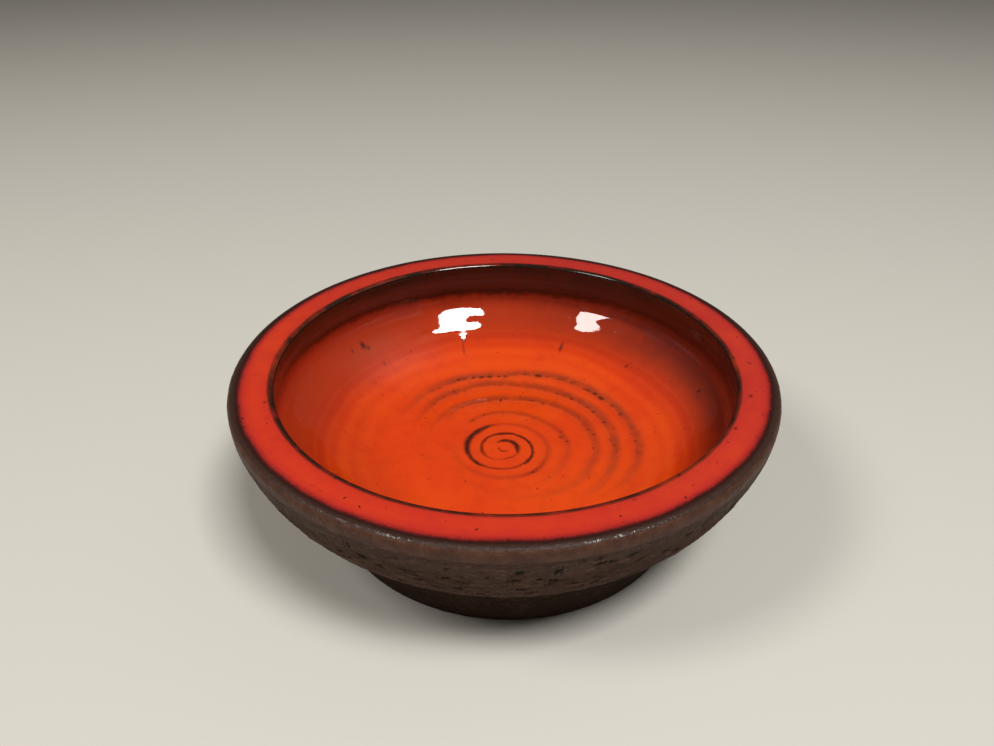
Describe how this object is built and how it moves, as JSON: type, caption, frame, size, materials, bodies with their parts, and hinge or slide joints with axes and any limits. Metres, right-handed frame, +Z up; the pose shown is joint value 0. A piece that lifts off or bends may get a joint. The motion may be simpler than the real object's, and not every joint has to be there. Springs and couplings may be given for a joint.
{
  "type": "bowl",
  "caption": "Wide shallow footed stoneware bowl with a steep lip, a flat glazed rim and a flat-floored glazed well.",
  "frame": {"origin": "centre of the foot ring's resting plane", "axes": "+Z up along the bowl's axis, towards the rim; +Y points away from the viewer of the picture and +X to that viewer's right"},
  "size_m": [0.18, 0.18, 0.057],
  "materials": {
    "stoneware": "matte",
    "rim_glaze": "gloss",
    "well_glaze": "gloss",
    "thin_glaze": "gloss"
  },
  "bodies": {
    "root": {"stoneware_body": "stoneware", "rim_glaze": "rim_glaze", "lip_glaze": "thin_glaze", "well_glaze": "well_glaze", "shoulder_glaze": "thin_glaze"}
  },
  "joints": []
}
